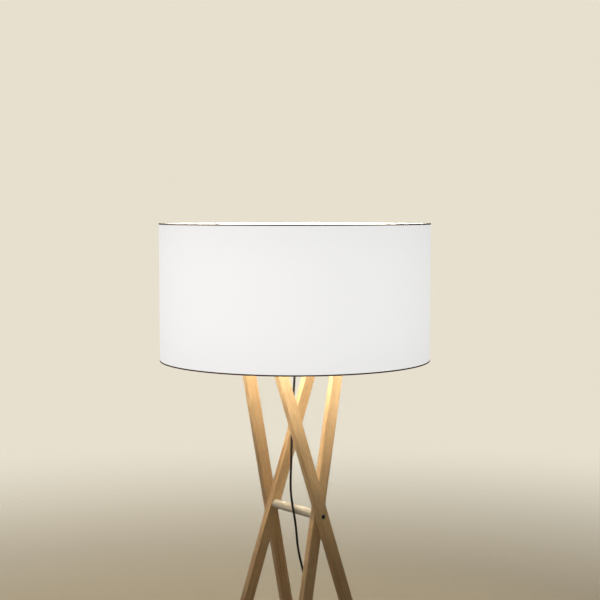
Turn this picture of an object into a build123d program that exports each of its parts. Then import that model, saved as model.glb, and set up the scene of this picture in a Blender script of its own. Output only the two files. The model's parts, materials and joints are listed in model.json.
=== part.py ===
from build123d import *
import os
from math import cos, pi, radians, sin, tan

# Floor lamp: a wide drum shade on two crossed pairs of oak bars, joined by a round oak crosspiece.
# Millimetres, +Z up. The origin is on the floor, under the middle of the shade.
# The crosspiece lies along Y, so each crossed pair spreads along X.

# ---- driving dimensions ----
HEIGHT = 1600.0              # floor to the top edge of the shade

SHADE_DIA = 740.0
SHADE_HEIGHT = 374.0
SHADE_WALL = 1.2             # fabric on its stiff backing
TRIM_HEIGHT = 3.5            # narrow dark binding at each edge of the shade
TRIM_PROUD = 0.6
RING_WIRE = 5.0              # wire of the shade's rings and arms
ARM_WIRE = 4.0
ARM_COUNT = 3
ARM_DROP = 26.0              # how far the shade's hub lies under its top edge

BAR_WIDTH = 34.0
BAR_THICK = 18.0
BAR_TOP = 1296.0
BAR_TILT = 15.3              # degrees, each bar from the middle line of its pair
PAIR_LEAN = 6.0              # degrees, each pair towards the other at the top
EDGE_ROUND = 1.2
PIVOT_Z = 806.5              # axis of the crosspiece
DOWEL_LENGTH = 171.0
DOWEL_DIA = 25.0
PAD_THICK = 3.0
PAD_INSET = 2.0

BOLT_DIA = 6.0
BOLT_HEAD_DIA = 10.0
BOLT_HEAD_HIGH = 5.5
BOLT_HOLE_DIA = 6.5
COUNTERBORE_DIA = 12.5
COUNTERBORE_DEEP = 7.0
SOCKET_WIDE = 5.0            # hexagon socket in a bolt's head, across its flats
PIVOT_BOLT_DIA = 8.0
PIVOT_HEAD_DIA = 13.5
PIVOT_HOLE_DIA = 8.5
PIVOT_BORE_DIA = 15.5
INSERT_DIA = 12.0
INSERT_LONG = 18.0

YOKE_TOP = 1289.0
YOKE_LOW = 1250.0
YOKE_BOLT_Z = 1268.0
YOKE_WIDE = 24.0
SHEET = 3.0                  # thickness of the yokes

RAIL_HALF = 152.0
RAIL_WIDE = 30.0
RAIL_HIGH = 15.0
RAIL_WALL = 1.5
HOLDER_X = 85.0
NIPPLE_DIA = 10.0

BOX_LONG = 84.0
BOX_HIGH = 27.0
BOX_WALL = 2.0
BOX_SCREW_X = 36.0
TERMINAL_X = -18.0
GLAND_DIA = 15.0
GLAND_LONG = 22.0

POST_DIA = 10.0
SLEEVE_DIA = 14.0
SEAT_DIA = 32.0
SEAT_THICK = 3.0
HUB_THICK = 2.0
FINIAL_DIA = 20.0

CORD_DIA = 6.4
COIL_INNER = 24.7            # radii of the put-away coil
COIL_OUTER = 44.3
COIL_HIGH = 13.0
TIE_THICK = 0.8
TIE_WIDE = 12.0

SWITCH_LONG = 84.0
SWITCH_WIDE = 42.0
SWITCH_HIGH = 22.0
SWITCH_SPLIT = 9.0           # height of the joint between base and cover
SWITCH_WALL = 2.0
BUTTON_DIA = 26.0
BUTTON_PROUD = 5.0
BUTTON_TRAVEL = 3.0
SPRING_LOW = 13.0
SWITCH_X, SWITCH_Y = 150.0, 110.0
CORD_ENTRY_Z = 9.0
BOOT_LONG = 22.0

PLUG_LONG = 42.0
PLUG_WIDE = 35.0
PLUG_HIGH = 14.0
PIN_DIA = 4.0
PIN_LONG = 19.0
PIN_GAP = 18.6
COIL_X, COIL_Y = 0.0, 225.0
PLUG_X, PLUG_Y = -112.0, 262.0

# ---- levels worked out from them ----
SHADE_LOW = HEIGHT - SHADE_HEIGHT
RAIL_TOP = YOKE_TOP + RAIL_HIGH
BOX_LOW = YOKE_TOP - BOX_HIGH
EXIT_Z = BOX_LOW - GLAND_LONG
HUB_Z = HEIGHT - ARM_DROP
SEAT_Z = HUB_Z - SEAT_THICK
CORD_R = CORD_DIA / 2
LEAN, TILT = radians(PAIR_LEAN), radians(BAR_TILT)
LOW = (Align.CENTER, Align.CENTER, Align.MIN)
FRONT, REAR = -1, 1          # the two pairs, by the sign of Y
INNER, OUTER = 0, 1          # the two bars of a pair, counted out from the crosspiece


def save(name, *shapes):
    """Writes one named piece, or a group of like pieces, as its own STEP file."""
    os.makedirs("parts", exist_ok=True)
    solids = [solid for shape in shapes for solid in shape.solids()]
    export_step(solids[0] if len(solids) == 1 else Compound(solids), f"parts/{name}.step")


def upright(radius, low, high, x=0.0, y=0.0):
    """A vertical cylinder between two heights."""
    return Pos(x, y, low) * Cylinder(radius, high - low, align=LOW)


def hexagon(flats, height, hole=0.0):
    """A hexagonal prism standing on Z = 0, measured across its flats, with a round hole if asked."""
    outline = RegularPolygon(radius=flats / 2, side_count=6, major_radius=False)
    return extrude(outline - Circle(hole / 2) if hole else outline, amount=height)


def ring(outer, inner, low, high, x=0.0, y=0.0):
    return upright(outer, low, high, x, y) - upright(inner, low, high, x, y)


def turned(points, x=0.0):
    """A solid of revolution about a vertical axis at x, from its (radius, height) outline."""
    outline = make_face(Plane.XZ * Polyline(*points, close=True))
    return Pos(x, 0, 0) * revolve(outline, Axis.Z)


# ---- crossed bars and the crosspiece ----

def bar_plane(side, layer):
    """Plane of a bar's inner face: y runs up the bar, z out through it, origin level with the pivot.

    An inner bar slants towards +X as it rises, and an outer bar towards -X.
    """
    slant = 1 if layer == INNER else -1
    outward = Vector(0, side * cos(LEAN), sin(LEAN))
    upward = Vector(0, -side * sin(LEAN), cos(LEAN))
    along = upward * cos(TILT) + Vector(slant * sin(TILT), 0, 0)
    origin = Vector(0, side * DOWEL_LENGTH / 2, PIVOT_Z) + outward * (layer * BAR_THICK)
    return Plane(origin=origin, x_dir=along.cross(outward), z_dir=outward)


def yoke_bolt_place(side, layer):
    """Plane on a bar's inner face, at the bolt that holds it to its yoke."""
    plane = bar_plane(side, layer)
    rise = (YOKE_BOLT_Z - plane.origin.Z) / plane.y_dir.Z
    return plane * Pos(0, rise, 0)


def across(radius, start, end):
    """A cylinder on the pivot axis between two values of Y."""
    return Pos(0, (start + end) / 2, PIVOT_Z) * Rot(90, 0, 0) * Cylinder(radius, abs(end - start))


def face_y(layers):
    """Distance from the middle to the face that lies this many bars out, on the pivot axis."""
    return DOWEL_LENGTH / 2 + layers * BAR_THICK / cos(LEAN)


def bar(side, layer):
    blank = Box(BAR_WIDTH, 2 * HEIGHT, BAR_THICK, align=LOW)
    blank = fillet(blank.edges().filter_by(Axis.Y), EDGE_ROUND)
    slab = Pos(0, 0, PAD_THICK) * Box(HEIGHT, HEIGHT, BAR_TOP - PAD_THICK, align=LOW)
    piece = (bar_plane(side, layer) * blank) & slab
    piece -= across(PIVOT_HOLE_DIA / 2, 0, side * 2 * face_y(2))
    if layer == OUTER:
        piece -= across(PIVOT_BORE_DIA / 2, side * (face_y(2) - COUNTERBORE_DEEP), side * 2 * face_y(2))
    place = yoke_bolt_place(side, layer)
    piece -= place * Cylinder(BOLT_HOLE_DIA / 2, 4 * BAR_THICK)
    seat = Pos(0, 0, BAR_THICK - COUNTERBORE_DEEP)
    return piece - place * seat * Cylinder(COUNTERBORE_DIA / 2, BAR_THICK, align=LOW)


def between_pairs(width):
    """The space between the two leaning inner faces, as a block of that width along X."""
    low, high = PIVOT_Z - width, PIVOT_Z + width
    half = DOWEL_LENGTH / 2
    spread = tan(LEAN) * width
    outline = Polyline((-half - spread, low), (-half + spread, high), (half - spread, high),
                       (half + spread, low), close=True)
    return extrude(Plane.YZ * make_face(outline), amount=width / 2, both=True)


def cross_dowel():
    """Round crosspiece, its ends cut to the lean of the bars and bored for the inserts."""
    piece = across(DOWEL_DIA / 2, -DOWEL_LENGTH, DOWEL_LENGTH) & between_pairs(2 * DOWEL_DIA)
    for side in (FRONT, REAR):
        piece -= across(INSERT_DIA / 2, side * (face_y(0) - INSERT_LONG - 4), side * DOWEL_LENGTH)
    return piece


def dowel_insert(side):
    """Threaded insert sunk just under the end of the crosspiece."""
    start, end = side * (face_y(0) - INSERT_LONG - 2), side * (face_y(0) - 2)
    return across(INSERT_DIA / 2, start, end) - across(PIVOT_BOLT_DIA / 2 + 0.05, start, end)


def pivot_bolt(side):
    """Socket-head bolt through both bars of a pair into the crosspiece."""
    seat = face_y(2) - COUNTERBORE_DEEP
    head = across(PIVOT_HEAD_DIA / 2, side * seat, side * (seat + BOLT_HEAD_HIGH))
    socket = Plane(origin=(0, side * (seat + 2.5), PIVOT_Z), z_dir=(0, side, 0)) * hexagon(SOCKET_WIDE, 5)
    return head - socket + across(PIVOT_BOLT_DIA / 2, side * seat, side * (face_y(0) - INSERT_LONG))


def foot_pad(side, layer):
    """Felt pad under the level-cut foot of a bar."""
    plane = bar_plane(side, layer)
    wide, thick = BAR_WIDTH - 2 * PAD_INSET, BAR_THICK - 2 * PAD_INSET
    blank = Pos(0, 0, PAD_INSET) * Box(wide, 2 * HEIGHT, thick, align=LOW)
    foot = (plane * blank) & (Pos(0, 0, PAD_THICK) * Box(HEIGHT, HEIGHT, 1, align=LOW))
    outline = foot.faces().sort_by(Axis.Z)[0]
    return extrude(outline, amount=PAD_THICK, dir=(0, 0, -1))


# ---- head: yokes, rail and wiring box ----

def yoke(layer):
    """Bent steel bracket between the tops of two like bars."""
    place = yoke_bolt_place(FRONT, layer)
    outer = [face_y(layer) - tan(LEAN) * (z - PIVOT_Z) for z in (YOKE_LOW, YOKE_TOP)]
    skin = SHEET / cos(LEAN)
    under = outer[1] + tan(LEAN) * SHEET - skin
    right = [(outer[1], YOKE_TOP), (outer[0], YOKE_LOW), (outer[0] - skin, YOKE_LOW),
             (under, YOKE_TOP - SHEET)]
    left = [(-y, z) for y, z in reversed(right)]
    section = make_face(Plane.YZ * Polyline(*right, *left, close=True))
    piece = Pos(place.position.X, 0, 0) * extrude(section, amount=YOKE_WIDE / 2, both=True)
    for side in (FRONT, REAR):
        piece -= yoke_bolt_place(side, layer) * Cylinder(BOLT_HOLE_DIA / 2, 4 * SHEET)
    for y in (-8, 8):
        piece -= upright(2.7, YOKE_TOP - 2 * SHEET, YOKE_TOP, place.position.X, y)
    return piece


def yoke_bolt(side, layer):
    place = yoke_bolt_place(side, layer)
    seat = BAR_THICK - COUNTERBORE_DEEP
    head = Pos(0, 0, seat) * Cylinder(BOLT_HEAD_DIA / 2, BOLT_HEAD_HIGH, align=LOW)
    head -= Pos(0, 0, seat + 2.5) * hexagon(SOCKET_WIDE, 5)
    shank = Pos(0, 0, -SHEET - 6) * Cylinder(BOLT_DIA / 2, seat + SHEET + 6, align=LOW)
    return place * (head + shank)


def yoke_nut(side, layer):
    return yoke_bolt_place(side, layer) * Pos(0, 0, -SHEET - 5) * hexagon(10, 5, BOLT_DIA + 0.1)


def rail():
    """Rectangular steel tube that carries the lampholders, with its wiring inside."""
    inner = RAIL_HIGH - 2 * RAIL_WALL
    piece = Pos(0, 0, YOKE_TOP) * Box(2 * RAIL_HALF, RAIL_WIDE, RAIL_HIGH, align=LOW)
    piece = fillet(piece.edges().filter_by(Axis.X), 1.2)
    piece -= Pos(0, 0, YOKE_TOP + RAIL_WALL) * Box(2 * RAIL_HALF, RAIL_WIDE - 2 * RAIL_WALL, inner, align=LOW)
    for x in (-HOLDER_X, 0, HOLDER_X):
        piece -= upright(NIPPLE_DIA / 2 + 0.1, RAIL_TOP - 2 * RAIL_WALL, RAIL_TOP, x)
    piece -= upright(6, YOKE_TOP, YOKE_TOP + 2 * RAIL_WALL, TERMINAL_X)
    for x, y in screw_places():
        piece -= upright(2.5, YOKE_TOP, YOKE_TOP + 2 * RAIL_WALL, x, y)
    return piece


def screw_places():
    """The four screws up through the yokes, and the two that hold the wiring box."""
    yokes = [(yoke_bolt_place(FRONT, layer).position.X, y) for layer in (INNER, OUTER) for y in (-8, 8)]
    return yokes + [(-BOX_SCREW_X, 0), (BOX_SCREW_X, 0)]


def rail_screw(x, y):
    low = YOKE_TOP - (BOX_WALL if abs(x) == BOX_SCREW_X else SHEET)
    return upright(4, low - 2.5, low, x, y) + upright(2.5, low, YOKE_TOP + RAIL_WALL + 3, x, y)


def rail_end_cap(side):
    """Plastic plug that closes an end of the rail."""
    x = side * RAIL_HALF
    flange = Pos(x + side, 0, YOKE_TOP) * Box(2, RAIL_WIDE, RAIL_HIGH, align=LOW)
    spigot = Pos(x - side * 4, 0, YOKE_TOP + RAIL_WALL) * Box(
        8, RAIL_WIDE - 2 * RAIL_WALL, RAIL_HIGH - 2 * RAIL_WALL, align=LOW)
    return flange + spigot


def wiring_box():
    """Box under the rail, which closes it, with two lugs inside its rim for its screws."""
    piece = Pos(0, 0, BOX_LOW) * Box(BOX_LONG, RAIL_WIDE, BOX_HIGH, align=LOW)
    piece = fillet(piece.edges().filter_by(Axis.Z), 4)
    piece -= Pos(0, 0, BOX_LOW + BOX_WALL) * Box(
        BOX_LONG - 2 * BOX_WALL, RAIL_WIDE - 2 * BOX_WALL, BOX_HIGH, align=LOW)
    for x in (-BOX_SCREW_X, BOX_SCREW_X):
        lug = Pos(x, 0, YOKE_TOP - BOX_WALL) * Box(10, RAIL_WIDE - BOX_WALL, BOX_WALL, align=LOW)
        piece += lug - upright(2.7, YOKE_TOP - BOX_WALL, YOKE_TOP, x)
    return piece - upright(5.1, BOX_LOW, BOX_LOW + BOX_WALL)


def terminal_block():
    """Terminal strip on the floor of the wiring box."""
    body = Pos(TERMINAL_X, 0, BOX_LOW + BOX_WALL) * Box(9, 24, 17, align=LOW)
    for y in (-8, 0, 8):
        body -= upright(1.5, BOX_LOW + 15, BOX_LOW + 19, TERMINAL_X - 2.5, y)
    return body


def cord_gland():
    """Cord grip under the wiring box: a hexagon, a tapered nose and a thread up through the floor."""
    body = Pos(0, 0, BOX_LOW - 6) * hexagon(GLAND_DIA, 6)
    body += turned([(0, EXIT_Z), (4.6, EXIT_Z), (6.6, BOX_LOW - 6), (0, BOX_LOW - 6)])
    body += upright(5, BOX_LOW, BOX_LOW + 8)
    return body - upright(CORD_R + 0.1, EXIT_Z, BOX_LOW + 8)


def gland_nut():
    return Pos(0, 0, BOX_LOW + BOX_WALL) * hexagon(14, 3, 10.1)


def inner_lead():
    """The end of the cord inside the gland, and the two cores that it splits into."""
    sheath = upright(CORD_R, EXIT_Z, BOX_LOW + 11)
    cores = []
    for y in (-1.2, 1.2):
        path = FilletPolyline((0, y, BOX_LOW + 11), (0, y, BOX_LOW + 15),
                              (TERMINAL_X + 4.5, y, BOX_LOW + 15), radius=3)
        cores.append(tube(path, 0.9))
    return [sheath, *cores]


def feed_wire(side):
    """Wire pair from the terminal strip along the rail and up into a lampholder."""
    level = YOKE_TOP + 6
    path = FilletPolyline((TERMINAL_X, side * 2.5, BOX_LOW + 19), (TERMINAL_X, side * 2.5, level),
                          (side * HOLDER_X, side * 2.5, level), (side * HOLDER_X, side * 2.5, RAIL_TOP + 12),
                          radius=3)
    return tube(path, 1.2)


# ---- lampholders and bulbs ----

HOLDER_TOP = RAIL_TOP + 55
CONTACT_Z = RAIL_TOP + 25    # where a bulb's tip rests


def holder_base(x):
    """Lower shell of a lampholder, screwed on its nipple."""
    low = RAIL_TOP
    return turned([(5.1, low), (13, low), (19, low + 14), (19, low + 18), (16.5, low + 18), (16.5, low + 15),
                   (11.5, low + 3), (5.1, low + 3)], x)


def holder_barrel(x):
    """Upper shell of a lampholder, with its shade-ring shoulder."""
    low = RAIL_TOP + 18
    return turned([(13.7, low), (20, low), (20, low + 12), (21.5, low + 12), (21.5, low + 16), (20, low + 16),
                   (20, HOLDER_TOP - 1), (19, HOLDER_TOP), (13.7, HOLDER_TOP)], x)


def holder_contact(x):
    """Ceramic insert with the brass tongue that a bulb's tip rests on."""
    insert = upright(13.6, RAIL_TOP + 18, CONTACT_Z - 2, x)
    insert -= upright(1.6, RAIL_TOP + 18, CONTACT_Z - 2, x, 6)
    return insert + upright(4, CONTACT_Z - 2, CONTACT_Z, x)


def holder_nipple(x):
    return ring(NIPPLE_DIA / 2, 4, RAIL_TOP - RAIL_WALL - 4, RAIL_TOP + 6, x)


def bulb_cap(x):
    """Screw cap of a bulb, with its insulator and tip."""
    z = CONTACT_Z
    return turned([(0, z), (4, z), (5, z + 1.5), (11, z + 3.5), (13.2, z + 4), (13.2, z + 26), (11.8, z + 26),
                   (11.8, z + 5), (0, z + 5)], x)


def bulb_housing(x):
    """Plastic body of a bulb, from its cap to its globe."""
    z = CONTACT_Z
    return turned([(0, z + 20), (11.6, z + 20), (11.6, z + 26), (13.2, z + 26), (13.4, z + 31), (20, z + 42),
                   (26, z + 53), (28.6, z + 63), (27.2, z + 63), (25.6, z + 57), (0, z + 57)], x)


def bulb_board(x):
    """Circuit board with a ring of light chips, on top of the housing."""
    low = CONTACT_Z + 57
    board = upright(24, low, low + 1.6, x)
    for step in range(12):
        angle = 2 * pi * step / 12
        board += Pos(x + 18 * cos(angle), 18 * sin(angle), low + 1.6) * Box(3, 3, 0.8, align=LOW)
    return board


def bulb_globe(x):
    """Opal dome of a bulb, a shell open where it drops into the housing."""
    centre, radius = CONTACT_Z + 77, 30.0
    ball = Pos(x, 0, centre) * (Sphere(radius) - Sphere(radius - 1))
    return ball & Pos(x, 0, CONTACT_Z + 63) * Box(80, 80, 80, align=LOW)


# ---- post, seat and finial ----

def post_rod():
    return upright(POST_DIA / 2, RAIL_TOP - RAIL_WALL - 5, HEIGHT - 14)


def post_nut(low):
    return Pos(0, 0, low) * hexagon(14, 4, POST_DIA + 0.04)


def post_sleeve():
    return ring(SLEEVE_DIA / 2, SLEEVE_DIA / 2 - 1.2, RAIL_TOP + 4, SEAT_Z)


def shade_seat():
    """Flanged washer that turns on the post and carries the shade's hub."""
    return ring(SEAT_DIA / 2, POST_DIA / 2 + 0.3, SEAT_Z, HUB_Z) - ring(
        SEAT_DIA, SEAT_DIA / 2 - 1, SEAT_Z, SEAT_Z + 1)


def finial():
    """Knurled cap nut over the end of the post."""
    low = HUB_Z + HUB_THICK
    body = turned([(0, low), (FINIAL_DIA / 2, low), (FINIAL_DIA / 2, low + 9), (FINIAL_DIA / 2 - 2, low + 12),
                   (6, low + 15), (0, low + 16)])
    return body - upright(POST_DIA / 2 + 0.15, low, low + 12.5)


# ---- shade ----

def shade_drum():
    return ring(SHADE_DIA / 2, SHADE_DIA / 2 - SHADE_WALL, SHADE_LOW, HEIGHT)


def shade_trim(low):
    """Dark binding round an edge of the shade."""
    return ring(SHADE_DIA / 2 + TRIM_PROUD, SHADE_DIA / 2, low, low + TRIM_HEIGHT)


def wire_ring(z):
    radius = SHADE_DIA / 2 - SHADE_WALL - RING_WIRE / 2
    return Pos(0, 0, z) * Torus(radius, RING_WIRE / 2)


def shade_spider():
    """Top ring of the shade with its arms and hub, welded as one."""
    top = HEIGHT - RING_WIRE / 2 - 0.5
    reach = SHADE_DIA / 2 - SHADE_WALL - RING_WIRE / 2
    level = HUB_Z + HUB_THICK / 2
    path = FilletPolyline((SEAT_DIA / 2 - 4, 0, level), (reach - 24, 0, level), (reach, 0, top), radius=10)
    piece = wire_ring(top) + ring(SEAT_DIA / 2 + 2, POST_DIA / 2 + 0.5, HUB_Z, HUB_Z + HUB_THICK)
    arm = tube(path, ARM_WIRE / 2)
    arm -= upright(SEAT_DIA / 2 + 2, HUB_Z - ARM_WIRE, HUB_Z)
    for step in range(ARM_COUNT):
        piece += Rot(0, 0, 90 + 360 * step / ARM_COUNT) * arm
    return piece


# ---- cord, switch and plug ----

def tube(path, radius):
    start = Plane(origin=path @ 0, z_dir=path % 0)
    return sweep(start * Circle(radius), path=path)


# Where the cord hangs from the gland, passes the crosspiece and lands, then runs into the switch.
DROP_ROUTE = [
    (0, 0, EXIT_Z), (0, 0, 1190), (-5, 1.5, 1112), (-11.5, 0.5, 1030), (-15.5, -3.5, 950),
    (-23, -7, 868), (-21.5, -16, 818), (-18.5, -26.5, 768), (-17, -32, 702), (-4, -44, 632), (5, -51, 558),
    (23, -56, 480), (40, -55, 398), (54, -48, 314), (66, -41, 232), (78, -37, 156), (90, -34, 92),
    (103, -28, 44), (121, -15, 14), (139, 3, 4), (SWITCH_X, 23, CORD_ENTRY_Z),
    (SWITCH_X, SWITCH_Y - SWITCH_LONG / 2 - BOOT_LONG, CORD_ENTRY_Z),
]
# From the switch round to the coil, and from the coil to the plug.
FLOOR_ROUTE = [
    (SWITCH_X, SWITCH_Y + SWITCH_LONG / 2 + BOOT_LONG, CORD_ENTRY_Z), (SWITCH_X, 197, CORD_ENTRY_Z),
    (145, 222, 4.4), (127, 247, 3.4), (98, 262, 3.4), (65, 268, 3.6), (33, 267, 4), (COIL_X, COIL_Y + 41, 4),
]
TAIL_ROUTE = [
    (COIL_X, COIL_Y + 41, 10.5), (-20, 266.5, 10.2), (-38, 266, 8.8), (-54, PLUG_Y, PLUG_HIGH / 2),
    (PLUG_X + PLUG_LONG, PLUG_Y, PLUG_HIGH / 2),
]


def cord_run(name, route):
    """Round tube along a route of straight runs joined by the largest arcs that they allow."""
    points = [Vector(*p) for p in route]
    radii = []
    for before, here, after in zip(points, points[1:], points[2:]):
        into, out = here - before, after - here
        turn = radians(into.get_angle(out))
        radii.append(0.45 * min(into.length, out.length) / tan(turn / 2))
    path = FilletPolyline(*points, radius=radii)
    piece = tube(path, CORD_R)
    print(name, "smallest radius", round(min(radii)), "length", round(path.length),
          "volume over section times length", round(piece.volume / (pi * CORD_R**2 * path.length), 4))
    return piece


def cord_coil():
    """Outer shape of the neat coil in which the spare cord is put away."""
    piece = ring(COIL_OUTER, COIL_INNER, TIE_THICK, TIE_THICK + COIL_HIGH, COIL_X, COIL_Y)
    return fillet(piece.edges(), 2.5)


def coil_tie():
    """Flat band round the coil, on the side away from where the cord leaves it."""
    high = COIL_HIGH + 2 * TIE_THICK
    middle, deep = (COIL_OUTER + COIL_INNER) / 2, COIL_OUTER - COIL_INNER
    outer = Box(TIE_WIDE, deep + 2 * TIE_THICK, high, align=LOW)
    hole = Pos(0, 0, TIE_THICK) * Box(TIE_WIDE, deep + 0.5, COIL_HIGH, align=LOW)
    band = Pos(COIL_X, COIL_Y - middle, 0) * (outer - hole)
    return band - cord_coil()


def switch_shape(grow, low, high):
    """The rounded outline of the switch, grown by an amount, between two heights."""
    outline = RectangleRounded(SWITCH_WIDE + 2 * grow, SWITCH_LONG + 2 * grow, 14 + grow)
    return Pos(SWITCH_X, SWITCH_Y, low) * extrude(outline, amount=high - low)


def cord_way(radius):
    """A cylinder through both ends of the switch at the height of the cord."""
    return Pos(SWITCH_X, SWITCH_Y, CORD_ENTRY_Z) * Rot(90, 0, 0) * Cylinder(radius, SWITCH_LONG + 1)


def switch_base():
    piece = switch_shape(0, 0, SWITCH_SPLIT) - switch_shape(-SWITCH_WALL, SWITCH_WALL, SWITCH_SPLIT)
    for y in (-28, 28):
        piece += upright(4, SWITCH_WALL, SWITCH_SPLIT, SWITCH_X + 12, SWITCH_Y + y)
        piece -= upright(1.8, 0, SWITCH_SPLIT, SWITCH_X + 12, SWITCH_Y + y)
        piece -= upright(3.2, 0, 2.5, SWITCH_X + 12, SWITCH_Y + y)
    return piece - cord_way(CORD_R + 1.5)


def switch_cover():
    piece = switch_shape(0, SWITCH_SPLIT, SWITCH_HIGH)
    piece = fillet(piece.faces().sort_by(Axis.Z)[-1].edges(), 5)
    piece -= switch_shape(-SWITCH_WALL, SWITCH_SPLIT, SWITCH_HIGH - 2.5)
    piece -= upright(BUTTON_DIA / 2 + 0.4, SWITCH_SPLIT, SWITCH_HIGH, SWITCH_X, SWITCH_Y)
    for y in (-28, 28):
        piece += upright(4, SWITCH_SPLIT, SWITCH_HIGH - 2.5, SWITCH_X + 12, SWITCH_Y + y)
        piece -= upright(1.4, SWITCH_SPLIT, SWITCH_SPLIT + 9, SWITCH_X + 12, SWITCH_Y + y)
    return piece - cord_way(CORD_R + 1.5)


def switch_button():
    """Round foot button, with a hidden rim that stops it under the cover."""
    top = SWITCH_HIGH + BUTTON_PROUD
    cap = upright(BUTTON_DIA / 2, SPRING_LOW + BUTTON_TRAVEL, top, SWITCH_X, SWITCH_Y)
    cap = fillet(cap.edges().sort_by(Axis.Z)[-1], 2.5)
    rim = upright(BUTTON_DIA / 2 + 2, SWITCH_HIGH - 4.6, SWITCH_HIGH - 2.7, SWITCH_X, SWITCH_Y)
    return cap + rim - upright(6, SPRING_LOW, SPRING_LOW + 9, SWITCH_X, SWITCH_Y)


def switch_spring():
    """Return spring between the contact block and the button."""
    path = Pos(SWITCH_X, SWITCH_Y, SPRING_LOW) * Helix(pitch=1.6, height=8.0, radius=4.2)
    return tube(path, 0.35)


def switch_contacts():
    """Contact block on the floor of the switch."""
    block = Pos(SWITCH_X, SWITCH_Y, SWITCH_WALL) * Box(20, 30, 10.4, align=LOW)
    return block - cord_way(CORD_R + 0.5)


def switch_screw(y):
    head = upright(3, 0.3, 2.5, SWITCH_X + 12, SWITCH_Y + y)
    return head + upright(1.35, 2.5, SWITCH_SPLIT + 8, SWITCH_X + 12, SWITCH_Y + y)


def switch_boot(side):
    """Tapered strain relief at one end of the switch, round the cord."""
    start = SWITCH_Y + side * SWITCH_LONG / 2
    taper = Cone(CORD_R + 2.4, CORD_R + 1, BOOT_LONG, align=LOW)
    taper += Pos(0, 0, -6) * Cylinder(CORD_R + 1.3, 6, align=LOW)
    return Plane(origin=(SWITCH_X, start, CORD_ENTRY_Z), z_dir=(0, side, 0)) * taper


def plug_body():
    """Flat two-pin plug, moulded with its strain relief, lying on its side with the pins towards -X."""
    face = Plane(origin=(PLUG_X, PLUG_Y, PLUG_HIGH / 2), z_dir=(1, 0, 0), x_dir=(0, 1, 0))
    wide = RectangleRounded(PLUG_WIDE, PLUG_HIGH, 6.5)
    narrow = RectangleRounded(16, 12, 5.5)
    boot = Circle(CORD_R + 1.2)
    body = loft([face * wide, face * Pos(0, 0, 8) * wide, face * Pos(0, 0, 20) * narrow], ruled=True)
    return body + loft([face * Pos(0, 0, 20) * Circle(5.6), face * Pos(0, 0, PLUG_LONG) * boot], ruled=True)


def plug_pin(side):
    pin = Plane(origin=(PLUG_X, PLUG_Y + side * PIN_GAP / 2, PLUG_HIGH / 2), z_dir=(-1, 0, 0)) * Cylinder(
        PIN_DIA / 2, PIN_LONG, align=LOW)
    return fillet(pin.edges().sort_by(Axis.X)[0], 0.8)


# ---- write every piece ----

for side, side_name in ((FRONT, "front"), (REAR, "rear")):
    for layer, layer_name in ((INNER, "inner"), (OUTER, "outer")):
        save(f"bar_{side_name}_{layer_name}", bar(side, layer))
ALL_BARS = [(side, layer) for side in (FRONT, REAR) for layer in (INNER, OUTER)]
save("foot_pads", *[foot_pad(*place) for place in ALL_BARS])
save("cross_dowel", cross_dowel())
save("dowel_inserts", *[dowel_insert(side) for side in (FRONT, REAR)])
save("pivot_bolts", *[pivot_bolt(side) for side in (FRONT, REAR)])
save("yoke_right", yoke(INNER))
save("yoke_left", yoke(OUTER))
save("yoke_bolts", *[yoke_bolt(*place) for place in ALL_BARS])
save("yoke_nuts", *[yoke_nut(*place) for place in ALL_BARS])
save("rail", rail())
save("rail_screws", *[rail_screw(x, y) for x, y in screw_places()])
save("rail_end_caps", *[rail_end_cap(side) for side in (-1, 1)])
save("wiring_box", wiring_box())
save("terminal_block", terminal_block())
save("cord_gland", cord_gland())
save("gland_nut", gland_nut())
save("inner_lead", *inner_lead())
save("feed_wires", *[feed_wire(side) for side in (-1, 1)])
save("post_rod", post_rod())
save("post_nuts", post_nut(RAIL_TOP), post_nut(RAIL_TOP - RAIL_WALL - 4))
save("post_sleeve", post_sleeve())
save("shade_seat", shade_seat())
save("finial", finial())
save("shade_drum", shade_drum())
save("top_trim", shade_trim(HEIGHT - TRIM_HEIGHT))
save("bottom_trim", shade_trim(SHADE_LOW))
save("shade_spider", shade_spider())
save("bottom_ring", wire_ring(SHADE_LOW + RING_WIRE / 2 + 0.5))
save("holder_nipples", *[holder_nipple(x) for x in (-HOLDER_X, HOLDER_X)])
for hand, x in (("left", -HOLDER_X), ("right", HOLDER_X)):
    save(f"holder_base_{hand}", holder_base(x))
    save(f"holder_barrel_{hand}", holder_barrel(x))
    save(f"holder_contact_{hand}", holder_contact(x))
    save(f"bulb_cap_{hand}", bulb_cap(x))
    save(f"bulb_housing_{hand}", bulb_housing(x))
    save(f"bulb_board_{hand}", bulb_board(x))
    save(f"bulb_globe_{hand}", bulb_globe(x))
save("cord_drop", cord_run("cord_drop", DROP_ROUTE))
save("cord_floor", cord_run("cord_floor", FLOOR_ROUTE))
save("cord_tail", cord_run("cord_tail", TAIL_ROUTE))
save("cord_coil", cord_coil())
save("coil_tie", coil_tie())
save("switch_base", switch_base())
save("switch_cover", switch_cover())
save("switch_button", switch_button())
save("switch_spring", switch_spring())
save("switch_contacts", switch_contacts())
save("switch_screws", switch_screw(-28), switch_screw(28))
save("switch_boots", *[switch_boot(side) for side in (-1, 1)])
save("plug_body", plug_body())
save("plug_pins", *[plug_pin(side) for side in (-1, 1)])
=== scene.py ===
# Floor lamp: a wide drum shade on two crossed pairs of oak bars, joined by a round crosspiece.
# Metres, +Z up, origin on the floor under the middle of the shade. The crosspiece lies along Y.
import json
from math import cos, pi, radians, sin

import bmesh
import bpy
from mathutils import Euler, Matrix, Vector

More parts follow.
